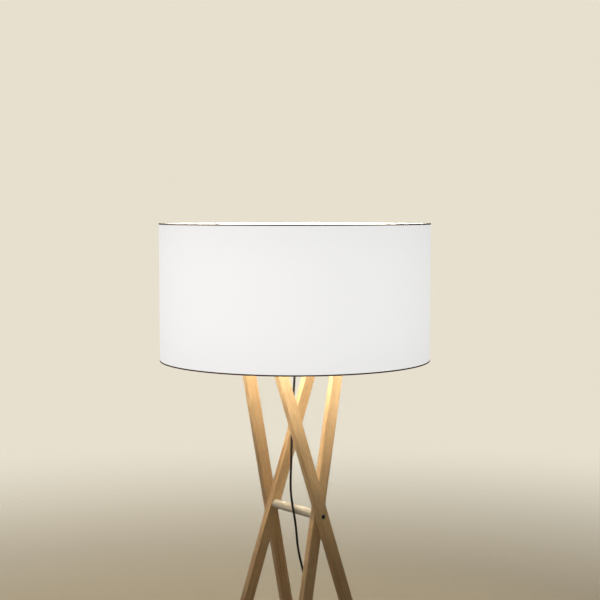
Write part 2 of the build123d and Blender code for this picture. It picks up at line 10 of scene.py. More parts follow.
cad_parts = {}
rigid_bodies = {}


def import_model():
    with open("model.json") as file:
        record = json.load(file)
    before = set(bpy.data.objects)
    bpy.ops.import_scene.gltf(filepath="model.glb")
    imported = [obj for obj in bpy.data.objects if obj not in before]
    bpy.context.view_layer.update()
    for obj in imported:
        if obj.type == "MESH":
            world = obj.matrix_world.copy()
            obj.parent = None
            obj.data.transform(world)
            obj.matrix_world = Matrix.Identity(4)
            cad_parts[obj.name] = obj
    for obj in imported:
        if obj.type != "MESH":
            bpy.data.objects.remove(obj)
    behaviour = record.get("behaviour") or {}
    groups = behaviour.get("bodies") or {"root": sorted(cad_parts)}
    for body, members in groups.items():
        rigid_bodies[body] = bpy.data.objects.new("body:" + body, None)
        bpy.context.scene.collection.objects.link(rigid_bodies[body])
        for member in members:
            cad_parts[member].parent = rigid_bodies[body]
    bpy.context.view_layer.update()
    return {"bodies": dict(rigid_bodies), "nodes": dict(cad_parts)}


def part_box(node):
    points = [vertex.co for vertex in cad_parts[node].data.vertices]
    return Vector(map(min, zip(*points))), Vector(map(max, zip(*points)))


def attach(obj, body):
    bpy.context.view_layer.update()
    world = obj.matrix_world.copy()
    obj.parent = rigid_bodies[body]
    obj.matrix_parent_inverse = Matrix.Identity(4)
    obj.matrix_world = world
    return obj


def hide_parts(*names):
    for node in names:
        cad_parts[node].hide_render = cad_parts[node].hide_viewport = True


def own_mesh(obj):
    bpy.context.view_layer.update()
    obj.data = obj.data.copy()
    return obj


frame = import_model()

nodes = frame["nodes"]
scene = bpy.context.scene


# ---- Studio ----
# A plain pale floor that fades into a pale room, a long lens at standing eye height, and soft lights from
# the left, from behind, from above and, weakly, from the front. The lamp's own bulbs do the rest.

EYE = Vector((-2.1692, -2.6161, 1.6297))
LOOK_RIGHT_OF_Y = radians(39.9)
LOOK_DOWN = radians(4.052)
ROOM = (0.80, 0.745, 0.62)
FLOOR_REACH = 9.0
FLOOR = (0.95, 0.83, 0.60)

eye = bpy.data.cameras.new("eye")
eye.lens, eye.sensor_width = 74.36, 36.0
camera = bpy.data.objects.new("eye", eye)
camera.location = EYE
camera.rotation_euler = Euler((pi / 2 - LOOK_DOWN, 0, -LOOK_RIGHT_OF_Y))
scene.collection.objects.link(camera)
scene.camera = camera
scene.view_settings.view_transform = "Standard"

room = bpy.data.worlds.new("room")
room.use_nodes = True
scene.world = room
sky = room.node_tree.nodes["Background"]
seen = room.node_tree.nodes.new("ShaderNodeBackground")
which = room.node_tree.nodes.new("ShaderNodeLightPath")
either = room.node_tree.nodes.new("ShaderNodeMixShader")
sky.inputs["Color"].default_value = (1.0, 0.93, 0.80, 1)
sky.inputs["Strength"].default_value = 0.06
seen.inputs["Color"].default_value = (*ROOM, 1)
room.node_tree.links.new(which.outputs["Is Camera Ray"], either.inputs["Fac"])
room.node_tree.links.new(sky.outputs["Background"], either.inputs[1])
room.node_tree.links.new(seen.outputs["Background"], either.inputs[2])
room.node_tree.links.new(either.outputs["Shader"], room.node_tree.nodes["World Output"].inputs["Surface"])


def soft_light(name, place, aim, size, power, colour):
    """A square soft box at a place, aimed at a point."""
    lamp = bpy.data.lights.new(name, "AREA")
    lamp.size, lamp.energy, lamp.color = size, power, colour
    box = bpy.data.objects.new(name, lamp)
    box.location = place
    box.rotation_euler = (Vector(aim) - Vector(place)).to_track_quat("-Z", "Y").to_euler()
    scene.collection.objects.link(box)


soft_light("soft_left", (-3.6, 0.9, 2.4), (0, 0, 0.5), 1.6, 13, (1.0, 0.91, 0.80))
soft_light("soft_behind", (2.2, 5.0, 3.3), (0, 0, 0.4), 2.4, 44, (1.0, 0.90, 0.74))
soft_light("soft_above", (0, 0.3, 3.7), (0, 0.3, 0), 2.6, 24, (1.0, 0.95, 0.87))
soft_light("soft_front", (-1.6, -3.6, 2.2), (0, 0, 1.45), 1.8, 1.0, (1.0, 0.97, 0.94))


def new_material(name, colour, roughness, metallic=0.0):
    """A material, its node tree and its shader, for its section to add to."""
    made = bpy.data.materials.new(name)
    made.use_nodes = True
    shader = made.node_tree.nodes["Principled BSDF"]
    shader.inputs["Base Color"].default_value = (*colour, 1)
    shader.inputs["Roughness"].default_value = roughness
    shader.inputs["Metallic"].default_value = metallic
    return made, made.node_tree, shader


def add_node(tree, kind, **settings):
    """A node of a tree; a setting is one of its properties or, in capitals, a value of one of its sockets."""
    node = tree.nodes.new(kind)
    for key, value in settings.items():
        if key.isupper():
            node.inputs[key.replace("_", " ").title()].default_value = value
        else:
            setattr(node, key, value)
    return node


floor_mesh = bpy.data.meshes.new("floor")
floor_mesh.from_pydata(
    [(FLOOR_REACH * cos(2 * pi * i / 64), FLOOR_REACH * sin(2 * pi * i / 64), 0) for i in range(64)],
    [], [list(range(64))])
floor = bpy.data.objects.new("floor", floor_mesh)
scene.collection.objects.link(floor)
floor_paint, tree, shader = new_material("floor_paint", FLOOR, 0.85)
where = add_node(tree, "ShaderNodeTexCoord")
reach = add_node(tree, "ShaderNodeVectorMath", operation="LENGTH")
fade = add_node(tree, "ShaderNodeMapRange", interpolation_type="SMOOTHSTEP")
fade.inputs["From Min"].default_value = 1.2
fade.inputs["From Max"].default_value = FLOOR_REACH * 0.6
clear = add_node(tree, "ShaderNodeBsdfTransparent")
blend = add_node(tree, "ShaderNodeMixShader")
tree.links.new(where.outputs["Object"], reach.inputs[0])
tree.links.new(reach.outputs["Value"], fade.inputs["Value"])
tree.links.new(fade.outputs["Result"], blend.inputs["Fac"])
tree.links.new(shader.outputs["BSDF"], blend.inputs[1])
tree.links.new(clear.outputs["BSDF"], blend.inputs[2])
tree.links.new(blend.outputs["Shader"], tree.nodes["Material Output"].inputs["Surface"])
floor_mesh.materials.append(floor_paint)
floor.visible_diffuse = False


# ---- Oak bars ----
# Four planed oak bars, 34 by 18 mm, oiled, in two pairs that cross where the crosspiece meets them. The
# grain runs along each bar, and each is sawn from another plank.

OAK_LIGHT, OAK_DARK = (0.76, 0.525, 0.275), (0.45, 0.255, 0.100)


def stretched(tree, source, scale):
    """The source's position with each axis scaled, so that a pattern is drawn out along the small one."""
    mapping = add_node(tree, "ShaderNodeMapping", SCALE=scale)
    tree.links.new(source, mapping.inputs["Vector"])
    return mapping.outputs["Vector"]


def noise(tree, source, scale, detail=3.0, distortion=0.0):
    made = add_node(tree, "ShaderNodeTexNoise", SCALE=scale, DETAIL=detail, DISTORTION=distortion)
    tree.links.new(source, made.inputs["Vector"])
    return made.outputs["Fac"]


def remapped(tree, source, low, high, to_low, to_high):
    made = add_node(tree, "ShaderNodeMapRange", FROM_MIN=low, FROM_MAX=high, TO_MIN=to_low, TO_MAX=to_high)
    tree.links.new(source, made.inputs["Value"])
    return made.outputs["Result"]


def sum_of(tree, first, second, share):
    """First plus second times share."""
    made = add_node(tree, "ShaderNodeMath", operation="MULTIPLY_ADD")
    tree.links.new(second, made.inputs[0])
    made.inputs[1].default_value = share
    tree.links.new(first, made.inputs[2])
    return made.outputs["Value"]


def mixed(tree, amount, first, second, blend="MIX"):
    """A mix of two colours, each a value or a socket."""
    made = add_node(tree, "ShaderNodeMixRGB", blend_type=blend)
    for socket, value in (("Fac", amount), ("Color1", first), ("Color2", second)):
        if isinstance(value, bpy.types.NodeSocket):
            tree.links.new(value, made.inputs[socket])
        elif isinstance(value, float):
            made.inputs[socket].default_value = value
        else:
            made.inputs[socket].default_value = (*value, 1)
    return made.outputs["Color"]


def raised(tree, shader, height, depth):
    """Surface relief of that depth in metres."""
    made = add_node(tree, "ShaderNodeBump", STRENGTH=1.0, DISTANCE=depth)
    tree.links.new(height, made.inputs["Height"])
    tree.links.new(made.outputs["Normal"], shader.inputs["Normal"])


def oak(name, along, plank, light, dark):
    """Oak with its grain along a direction: growth rings, fibres, open pores and a drift of tone."""
    made, tree, shader = new_material(name, light, 0.5)
    where = add_node(tree, "ShaderNodeTexCoord")
    turn = Vector(along).rotation_difference(Vector((0, 0, 1))).to_euler()
    sawn = add_node(tree, "ShaderNodeMapping", ROTATION=turn, LOCATION=plank)
    tree.links.new(where.outputs["Object"], sawn.inputs["Vector"])
    sawn = sawn.outputs["Vector"]
    long_grain = stretched(tree, sawn, (1, 1, 0.045))
    fine_grain = stretched(tree, sawn, (1, 1, 0.018))
    rings = add_node(tree, "ShaderNodeTexWave", SCALE=46, DISTORTION=5.5, DETAIL=3, DETAIL_SCALE=1.4)
    tree.links.new(long_grain, rings.inputs["Vector"])
    figure = noise(tree, long_grain, 70, 3, 0.8)
    fibre = noise(tree, fine_grain, 1100, 4)
    pores = remapped(tree, noise(tree, fine_grain, 1900, 2), 0.60, 0.67, 0, 1)
    drift = noise(tree, stretched(tree, sawn, (1, 1, 0.2)), 9, 2)
    tone = sum_of(tree, figure, rings.outputs["Fac"], 0.34)
    tone = sum_of(tree, sum_of(tree, tone, fibre, 0.42), drift, 0.5)
    tone = remapped(tree, tone, 0.55, 1.15, 0, 1)
    wood = mixed(tree, tone, dark, light)
    dark_pores = mixed(tree, 0.55, wood, tuple(0.4 * c for c in dark))
    tree.links.new(mixed(tree, pores, wood, dark_pores), shader.inputs["Base Color"])
    tree.links.new(remapped(tree, fibre, 0.3, 0.7, 0.40, 0.60), shader.inputs["Roughness"])
    raised(tree, shader, sum_of(tree, fibre, pores, -0.9), 0.00012)
    return made


def dress(material, *names):
    """Gives CAD nodes their finish."""
    for name in names:
        nodes[name].material_slots[0].material = material


def bar_direction(name):
    """The way a bar runs, from its foot to its top, by the middles of its two ends."""
    points = [v.co for v in nodes[name].data.vertices]
    low, high = min(p.z for p in points), max(p.z for p in points)
    ends = []
    for level in (low, high):
        end = [p for p in points if abs(p.z - level) < 0.0005]
        ends.append(sum(end, Vector()) / len(end))
    return (ends[1] - ends[0]).normalized()


for number, name in enumerate(("bar_front_outer", "bar_front_inner", "bar_rear_outer", "bar_rear_inner")):
    plank = (0.13 + 0.31 * number, 0.4 - 0.23 * number, 0.7 * number)
    dress(oak("oak_" + name, bar_direction(name), plank, OAK_LIGHT, OAK_DARK), name)


# ---- Felt pads ----
# A pad of pressed wool felt under each level-cut foot, glued on, a little smaller than the foot.

felt, tree, shader = new_material("felt", (0.055, 0.048, 0.042), 0.95)
where = add_node(tree, "ShaderNodeTexCoord").outputs["Object"]
tangle = noise(tree, where, 1500, 5, 1.5)
tree.links.new(mixed(tree, tangle, (0.03, 0.026, 0.023), (0.09, 0.08, 0.07)), shader.inputs["Base Color"])
raised(tree, shader, tangle, 0.0003)
shader.inputs["Sheen Weight"].default_value = 0.5
dress(felt, "foot_pads")


# ---- Crosspiece ----
# A turned rod of pale ash, 25 mm across, between the two pairs. Its ends are cut to their lean and lie
# flat against the inner bars, and a brass insert is screwed into each end.

ASH_LIGHT, ASH_DARK = (0.96, 0.87, 0.69), (0.88, 0.76, 0.57)
dress(oak("ash_crosspiece", (0, 1, 0), (0.2, 0.1, 0.5), ASH_LIGHT, ASH_DARK), "cross_dowel")


def worked(name, colour, roughness, metallic=0.0, grain=900, depth=0.00002, uneven=0.08, tint=0.12):
    """A moulded, coated or machined surface: clouded tone and gloss, and a fine grain."""
    made, tree, shader = new_material(name, colour, roughness, metallic)
    where = add_node(tree, "ShaderNodeTexCoord").outputs["Object"]
    cloud = noise(tree, where, 55, 5)
    darker = tuple(c * (1 - tint) for c in colour)
    lighter = tuple(min(1, c * (1 + tint)) for c in colour)
    tree.links.new(mixed(tree, cloud, darker, lighter), shader.inputs["Base Color"])
    tree.links.new(remapped(tree, cloud, 0.25, 0.75, roughness - uneven, roughness + uneven),
                   shader.inputs["Roughness"])
    raised(tree, shader, noise(tree, where, grain, 3), depth)
    return made


dress(worked("brass_insert", (0.72, 0.50, 0.20), 0.32, 1.0, 1600), "dowel_inserts")


# ---- Bolts through the bars ----
# Black socket-head bolts, each flush in a counterbore: 6 mm ones into the yokes, and an 8 mm pair through
# both bars of a pair into the crosspiece. The rim of the larger heads is coloured a lighter steel grey.

OXIDE_BLACK, RIM_STEEL_GREY = (0.022, 0.022, 0.024), (0.42, 0.43, 0.44)
RIM_FROM, RIM_FULL = 0.0054, 0.0058      # distance from the bolt's axis where the lighter rim begins

dress(worked("black_oxide", OXIDE_BLACK, 0.38, 0.9, 1300), "yoke_bolts")

bright_rim = worked("bright_rim", OXIDE_BLACK, 0.38, 0.9, 1300)
tree, shader = bright_rim.node_tree, bright_rim.node_tree.nodes["Principled BSDF"]
axis_height = (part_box("cross_dowel")[0][2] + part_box("cross_dowel")[1][2]) / 2
where = add_node(tree, "ShaderNodeTexCoord").outputs["Object"]
from_axis = add_node(tree, "ShaderNodeMapping", LOCATION=(0, 0, -axis_height), SCALE=(1, 0, 1))
tree.links.new(where, from_axis.inputs["Vector"])
radius = add_node(tree, "ShaderNodeVectorMath", operation="LENGTH")
tree.links.new(from_axis.outputs["Vector"], radius.inputs[0])
on_rim = remapped(tree, radius.outputs["Value"], RIM_FROM, RIM_FULL, 0, 1)
coated = shader.inputs["Base Color"].links[0].from_socket
tree.links.new(mixed(tree, on_rim, coated, RIM_STEEL_GREY), shader.inputs["Base Color"])
dress(bright_rim, "pivot_bolts")

zinc = worked("zinc_plate", (0.60, 0.61, 0.62), 0.30, 1.0, 700, tint=0.18)
dress(zinc, "yoke_nuts", "rail_screws", "post_nuts", "gland_nut", "holder_nipples", "switch_screws",
      "post_rod")


# ---- Yokes, rail and seat ----
# Two bent steel yokes join the tops of like bars, and a steel tube across them carries the lampholders.
# All of it is powder coated black, with a slight orange peel.

powder_black = worked("powder_black", (0.020, 0.020, 0.021), 0.46, 0.0, 420, 0.00006)
dress(powder_black, "yoke_left", "yoke_right", "rail", "post_sleeve", "shade_seat")
moulded_black = worked("moulded_black", (0.016, 0.016, 0.017), 0.40, 0.0, 2100, 0.00003)
dress(moulded_black, "rail_end_caps", "wiring_box", "cord_gland")
dress(worked("terminal_plastic", (0.66, 0.65, 0.60), 0.5, 0.0, 1500), "terminal_block", "switch_contacts")
dress(worked("core_insulation", (0.20, 0.09, 0.035), 0.42, 0.0, 1200), "feed_wires")


# ---- Lampholders ----
# Two black moulded lampholders on threaded nipples, each a base, a barrel with a shoulder ring and a
# ceramic insert with the contact. The barrel's lower part is ribbed for the fingers.

HOLDER_X = 0.085
dress(moulded_black, "holder_base_left", "holder_base_right", "holder_barrel_left", "holder_barrel_right")
glazed_ceramic = worked("glazed_ceramic", (0.70, 0.68, 0.62), 0.22, 0.0, 300)
dress(glazed_ceramic, "holder_contact_left", "holder_contact_right")


class Tree:
    """A geometry tree under construction, with named inputs and one output."""

    def __init__(self, name, inputs):
        self.group = bpy.data.node_groups.new(name, "GeometryNodeTree")
        self.group.interface.new_socket("Geometry", in_out="OUTPUT", socket_type="NodeSocketGeometry")
        for label, kind in inputs.items():
            self.group.interface.new_socket(label, in_out="INPUT", socket_type="NodeSocket" + kind)
        self.given = self.group.nodes.new("NodeGroupInput")

    def add(self, kind, links, **settings):
        """A node whose sockets are linked from other sockets, or from an input of the tree by its name."""
        node = self.group.nodes.new(kind)
        for key, value in settings.items():
            setattr(node, key, value)
        for key, value in links.items():
            if isinstance(value, str):
                value = self.given.outputs[value]
            if isinstance(value, bpy.types.NodeSocket):
                self.group.links.new(value, node.inputs[key])
            else:
                node.inputs[key].default_value = value
        return node.outputs

    def swept(self, curve, closed=True):
        """A round bar along a curve, moved to its place, as the tree's result."""
        profile = self.add("GeometryNodeCurvePrimitiveCircle", {"Resolution": 8, "Radius": "Thickness"})
        bar = self.add("GeometryNodeCurveToMesh", {"Curve": curve, "Profile Curve": profile["Curve"],
                                                   "Fill Caps": not closed})
        smooth = self.add("GeometryNodeSetShadeSmooth", {"Geometry": bar["Mesh"]})
        placed = self.add("GeometryNodeTransform", {"Geometry": smooth["Geometry"], "Translation": "Place",
                                                    "Rotation": "Turn"})
        whole = self.add("GeometryNodeRealizeInstances", {"Geometry": placed["Geometry"]})
        done = self.add("GeometryNodeSetMaterial", {"Geometry": whole["Geometry"], "Material": "Finish"})
        out = self.group.nodes.new("NodeGroupOutput")
        self.group.links.new(done["Geometry"], out.inputs["Geometry"])
        return self.group


def made_by(name, group, body, slot, **values):
    """A plain mesh made by a geometry tree, riding on a body. Values are the tree's inputs."""
    values.setdefault("turn", (0, 0, 0))
    piece = bpy.data.objects.new(name, bpy.data.meshes.new(name))
    scene.collection.objects.link(piece)
    modifier = piece.modifiers.new("make", "NODES")
    modifier.node_group = group
    for item in group.interface.items_tree:
        if item.in_out == "INPUT":
            modifier[item.identifier] = values[item.name.replace(" ", "_").lower()]
    graph = bpy.context.evaluated_depsgraph_get()
    mesh = bpy.data.meshes.new_from_object(piece.evaluated_get(graph))
    piece.modifiers.clear()
    piece.data = mesh
    mesh.name = name
    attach(piece, body)
    return piece


COMMON = {"Thickness": "Float", "Place": "Vector", "Turn": "Vector", "Finish": "Material"}

# Straight ribs round an axis, each from a low point to a high point.
upright_ribs = Tree("upright_ribs", {"Count": "Int", "Low": "Vector", "High": "Vector", **COMMON})
rib = upright_ribs.add("GeometryNodeCurvePrimitiveLine", {"Start": "Low", "End": "High"})
spots = upright_ribs.add("GeometryNodeMeshLine", {"Count": "Count", "Offset": (0, 0, 0)})
index = upright_ribs.add("GeometryNodeInputIndex", {})
share = upright_ribs.add("ShaderNodeMath", {0: index["Index"], 1: "Count"}, operation="DIVIDE")
angle = upright_ribs.add("ShaderNodeMath", {0: share["Value"], 1: 2 * pi}, operation="MULTIPLY")
spin = upright_ribs.add("ShaderNodeCombineXYZ", {"Z": angle["Value"]})
round_axis = upright_ribs.add("GeometryNodeInstanceOnPoints", {
    "Points": spots["Mesh"], "Instance": rib["Curve"], "Rotation": spin["Vector"]})
as_curves = upright_ribs.add("GeometryNodeRealizeInstances", {"Geometry": round_axis["Instances"]})
upright_ribs = upright_ribs.swept(as_curves["Geometry"], closed=False)

# Rings along an axis, from one height and radius to another.
rings_along = Tree("rings_along", {
    "Count": "Int", "Start": "Vector", "End": "Vector", "Start Radius": "Float", "End Radius": "Float",
    **COMMON})
loop = rings_along.add("GeometryNodeCurvePrimitiveCircle", {"Resolution": 48, "Radius": 1.0})
spots = rings_along.add("GeometryNodeMeshLine", {
    "Count": "Count", "Start Location": "Start", "Offset": "End"}, mode="END_POINTS")
index = rings_along.add("GeometryNodeInputIndex", {})
last = rings_along.add("ShaderNodeMath", {0: "Count", 1: 1.0}, operation="SUBTRACT")
width = rings_along.add("ShaderNodeMapRange", {"Value": index["Index"], "From Max": last["Value"],
                                               "To Min": "Start Radius", "To Max": "End Radius"})
along_axis = rings_along.add("GeometryNodeInstanceOnPoints", {
    "Points": spots["Mesh"], "Instance": loop["Curve"], "Scale": width["Result"]})
as_curves = rings_along.add("GeometryNodeRealizeInstances", {"Geometry": along_axis["Instances"]})
rings_along = rings_along.swept(as_curves["Geometry"])

# A thread: a spiral of constant radius that climbs.
thread = Tree("thread", {"Turns": "Float", "Radius": "Float", "Height": "Float", **COMMON})
climb = thread.add("GeometryNodeCurveSpiral", {
    "Resolution": 32, "Rotations": "Turns", "Start Radius": "Radius", "End Radius": "Radius",
    "Height": "Height"})
thread = thread.swept(climb["Curve"], closed=False)

BARREL_R = 0.0200

for hand, x in (("left", -HOLDER_X), ("right", HOLDER_X)):
    foot = (x, 0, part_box("holder_barrel_" + hand)[0][2])
    made_by("holder_ribs_" + hand, upright_ribs, "stand", "black_plastic", count=32,
            low=(BARREL_R, 0, 0.0015), high=(BARREL_R, 0, 0.0105), thickness=0.0006, place=foot,
            finish=moulded_black)
    made_by("holder_rings_" + hand, rings_along, "stand", "black_plastic", count=4, start=(0, 0, 0.020),
            end=(0, 0, 0.032), start_radius=BARREL_R, end_radius=BARREL_R, thickness=0.0005, place=foot,
            finish=moulded_black)


# ---- Bulbs ----
# Two lamps with an opal dome, a white finned housing and a nickel screw cap, lit warm white. A ring of
# chips on a white board under the dome gives the light.

GLOW_COLOUR = (1.0, 0.91, 0.77)
BULB_WATTS = 15.5

opal, tree, shader = new_material("opal_dome", (0.92, 0.90, 0.86), 0.35)
where = add_node(tree, "ShaderNodeTexCoord").outputs["Object"]
height = add_node(tree, "ShaderNodeSeparateXYZ")
tree.links.new(where, height.inputs["Vector"])
dome_low, dome_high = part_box("bulb_globe_left")[0][2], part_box("bulb_globe_left")[1][2]
# Painted shading on the dome's glow: brighter and whiter towards its top, dimmer and more orange towards the
# housing, with a little random frost.
glow = remapped(tree, height.outputs["Z"], dome_low, dome_high, 0.8, 1.25)
glow_and_frost = sum_of(tree, glow, noise(tree, where, 60, 2), 0.15)
tree.links.new(mixed(tree, glow_and_frost, (0.9, 0.62, 0.40), (1.0, 0.86, 0.66)), shader.inputs["Emission Color"])
shader.inputs["Emission Strength"].default_value = 1.5
dress(opal, "bulb_globe_left", "bulb_globe_right")
white_housing = worked("bulb_housing", (0.78, 0.78, 0.76), 0.35, 0.0, 700)
dress(white_housing, "bulb_housing_left", "bulb_housing_right")
dress(worked("solder_mask", (0.80, 0.80, 0.76), 0.4, 0.0, 900), "bulb_board_left", "bulb_board_right")
nickel = worked("nickel_plate", (0.66, 0.64, 0.60), 0.24, 1.0, 500, tint=0.10)
dress(nickel, "bulb_cap_left", "bulb_cap_right")

for hand, x in (("left", -HOLDER_X), ("right", HOLDER_X)):
    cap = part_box("bulb_cap_" + hand)
    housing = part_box("bulb_housing_" + hand)
    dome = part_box("bulb_globe_" + hand)
    body = "bulb_" + hand
    made_by("cap_thread_" + hand, thread, body, "cap_metal", turns=4.5, radius=0.01285, height=0.0165,
            thickness=0.0006, place=(x, 0, cap[0][2] + 0.0065), finish=nickel)
    made_by("housing_fins_" + hand, upright_ribs, body, "white_plastic", count=28, low=(0.0142, 0, 0.0118),
            high=(0.0262, 0, 0.0335), thickness=0.0007, place=(x, 0, housing[0][2]), finish=white_housing)
    made_by("dome_collar_" + hand, rings_along, body, "white_plastic", count=2, start=(0, 0, 0),
            end=(0, 0, 0.0012), start_radius=0.0272, end_radius=0.0274, thickness=0.0005,
            place=(x, 0, dome[0][2] - 0.0006), finish=white_housing)
    nodes["bulb_globe_" + hand].visible_shadow = False
    spark = bpy.data.lights.new("spark_" + hand, "POINT")
    spark.energy, spark.color, spark.shadow_soft_size = BULB_WATTS, GLOW_COLOUR, 0.024
    source = bpy.data.objects.new("spark_" + hand, spark)
    source.location = (x, 0, (dome[0][2] + dome[1][2]) / 2 + 0.004)
    scene.collection.objects.link(source)
    source.parent = frame["bodies"][body]


# ---- Post top and finial ----
# The post's threaded end comes up through the shade's hub, and a knurled black cap nut on it holds the
# shade down on its seat.

hub_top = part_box("finial")[0][2]
finial_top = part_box("finial")[1][2]


def face_outward(mesh):
    """Turns every face of a closed mesh outward."""
    form = bmesh.new()
    form.from_mesh(mesh)
    bmesh.ops.recalc_face_normals(form, faces=form.faces)
    form.to_mesh(mesh)
    form.free()


def lathed(name, outline, place=(0, 0, 0), segments=64):
    """A turned piece from its closed (radius, height) outline, about a vertical axis at a place."""
    points, faces, rounds = [], [], []
    for radius, height in outline:
        if radius == 0:
            rounds.append([len(points)] * segments)
            points.append((place[0], place[1], place[2] + height))
            continue
        rounds.append(list(range(len(points), len(points) + segments)))
        for i in range(segments):
            angle = 2 * pi * i / segments
            points.append((place[0] + radius * cos(angle), place[1] + radius * sin(angle), place[2] + height))
    for low, high in zip(rounds, rounds[1:] + rounds[:1]):
        for i in range(segments):
            j = (i + 1) % segments
            corners = list(dict.fromkeys((low[i], low[j], high[j], high[i])))
            if len(corners) > 2:
                faces.append(corners)
    mesh = bpy.data.meshes.new(name)
    mesh.from_pydata(points, [], faces)
    face_outward(mesh)
    mesh.shade_smooth()
    mesh.set_sharp_from_angle(angle=radians(35))
    piece = bpy.data.objects.new(name, mesh)
    scene.collection.objects.link(piece)
    return piece


black_nickel = worked("black_nickel", (0.030, 0.029, 0.030), 0.26, 0.95, 700)
high = finial_top - hub_top
cap_nut = lathed("finial_cap", [
    (0.0052, 0), (0.0090, 0), (0.0096, 0.0006), (0.0096, 0.0086), (0.0088, 0.0094), (0.0082, 0.0100),
    (0.0080, 0.0112), (0.0072, 0.0128), (0.0058, high - 0.0012), (0.0036, high - 0.0003), (0, high),
    (0, 0.0125), (0.0052, 0.0125)], (0, 0, hub_top))
cap_nut.data.materials.append(black_nickel)
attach(cap_nut, "finial")
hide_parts("finial")
made_by("finial_knurl", upright_ribs, "finial", "black_steel", count=40, low=(0.0094, 0, 0.0010),
        high=(0.0094, 0, 0.0082), thickness=0.0005, place=(0, 0, hub_top), finish=black_nickel)
made_by("post_thread", thread, "stand", "zinc_steel", turns=11, radius=0.00482, height=0.011,
        thickness=0.00028, place=(0, 0, hub_top - 0.0015), finish=zinc)


# ---- Shade ----
# A wide drum of white woven fabric laminated on a white plastic lining, 740 mm across. The sheet is rolled
# round two wire rings and lapped in one seam on the far side. Lit from inside, the fabric glows evenly: that
# glow is painted on, a little dimmer towards the top and bottom edges.

SHADE_R = 0.370
WALL = 0.0012
SEGMENTS = 256               # round the sheet and the ribbons on it
THREAD = 0.0008              # spacing of the fabric's threads
SEAM_AT = radians(50)
SEAM_WIDE = 0.012
FABRIC_WHITE = (0.82, 0.82, 0.825)
FABRIC_GLOW = (0.985, 0.985, 0.985)

shade_low, shade_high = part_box("shade_drum")[0][2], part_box("shade_drum")[1][2]
shade_tall = shade_high - shade_low


def wrapped(name, section, start, end, segments, materials):
    """A sheet wrapped round the shade's axis from its (radius, height, material) outline.

    Its UV map is in metres, along the wrap and up. A full turn is closed, anything less has end faces.
    """
    closed = end - start > 2 * pi - 0.001
    columns = segments if closed else segments + 1
    points = []
    for i in range(columns):
        angle = start + (end - start) * i / segments
        points += [(r * cos(angle), r * sin(angle), z) for r, z, _ in section]
    rows = len(section)
    faces, kinds, uvs = [], [], []
    for i in range(segments):
        here, there = i * rows, ((i + 1) % columns) * rows
        u0, u1 = (SHADE_R * (start + (end - start) * k / segments) for k in (i, i + 1))
        for j in range(rows):
            k = (j + 1) % rows
            faces.append((here + j, there + j, there + k, here + k))
            v0, v1 = section[j][1], section[k][1]
            uvs += [(u0, v0), (u1, v0), (u1, v1), (u0, v1)]
            kinds.append(section[j][2])
    if not closed:
        for ring, turned_round in ((0, False), (segments * rows, True)):
            corners = [ring + j for j in range(rows)]
            faces.append(corners[::-1] if turned_round else corners)
            uvs += [(0, section[c - ring][1]) for c in faces[-1]]
            kinds.append(0)
    mesh = bpy.data.meshes.new(name)
    mesh.from_pydata(points, [], faces)
    layer = mesh.uv_layers.new(name="cloth")
    for loop, uv in zip(layer.data, uvs):
        loop.uv = uv
    for finish in materials:
        mesh.materials.append(finish)
    for face, kind in zip(mesh.polygons, kinds):
        face.material_index = kind
    mesh.shade_smooth()
    mesh.set_sharp_from_angle(angle=radians(40))
    piece = bpy.data.objects.new(name, mesh)
    scene.collection.objects.link(piece)
    return piece


def thread_wave(tree, source, axis, spacing):
    """Rounded threads side by side along one direction of the cloth."""
    wave = add_node(tree, "ShaderNodeTexWave", bands_direction=axis, SCALE=2 * pi / (20 * spacing),
                    DISTORTION=0.6, DETAIL=1)
    tree.links.new(source, wave.inputs["Vector"])
    return wave.outputs["Fac"]


woven_white, tree, shader = new_material("woven_white", FABRIC_WHITE, 0.9)
cloth = add_node(tree, "ShaderNodeUVMap", uv_map="cloth").outputs["UV"]
weft = thread_wave(tree, cloth, "Y", THREAD)
warp = thread_wave(tree, cloth, "X", THREAD)
slubs_across = noise(tree, stretched(tree, cloth, (18, 900, 1)), 1.0, 2)
slubs_up = noise(tree, stretched(tree, cloth, (900, 14, 1)), 1.0, 2)
slubs = sum_of(tree, slubs_across, slubs_up, 0.8)
weave = sum_of(tree, weft, warp, 0.8)
threads = sum_of(tree, slubs, weave, 0.25)
tree.links.new(mixed(tree, remapped(tree, threads, 0.5, 1.6, 0, 1), tuple(0.93 * c for c in FABRIC_WHITE),
                     FABRIC_WHITE), shader.inputs["Base Color"])
where = add_node(tree, "ShaderNodeTexCoord").outputs["Object"]
level = add_node(tree, "ShaderNodeSeparateXYZ")
tree.links.new(where, level.inputs["Vector"])
off_middle = add_node(tree, "ShaderNodeMath", operation="SUBTRACT")
off_middle.inputs[1].default_value = (shade_low + shade_high) / 2
tree.links.new(level.outputs["Z"], off_middle.inputs[0])
squared = add_node(tree, "ShaderNodeMath", operation="MULTIPLY")
tree.links.new(off_middle.outputs["Value"], squared.inputs[0])
tree.links.new(off_middle.outputs["Value"], squared.inputs[1])
# Painted glow: the bulbs' light through the fabric, as emission, dimmer towards the top and bottom edges.
from_bulbs = remapped(tree, squared.outputs["Value"], 0, (shade_tall / 2) ** 2, 1.0, 0.94)
through = sum_of(tree, from_bulbs, remapped(tree, threads, 0.5, 1.6, -1, 1), 0.035)
tree.links.new(mixed(tree, through, (0, 0, 0), FABRIC_GLOW), shader.inputs["Emission Color"])
shader.inputs["Emission Strength"].default_value = 0.82
shader.inputs["Sheen Weight"].default_value = 0.2
shader.inputs["Sheen Roughness"].default_value = 0.6
raised(tree, shader, weave, 0.00012)

lining = worked("white_lining", (0.84, 0.84, 0.83), 0.38, 0.0, 260, 0.00004, tint=0.02)

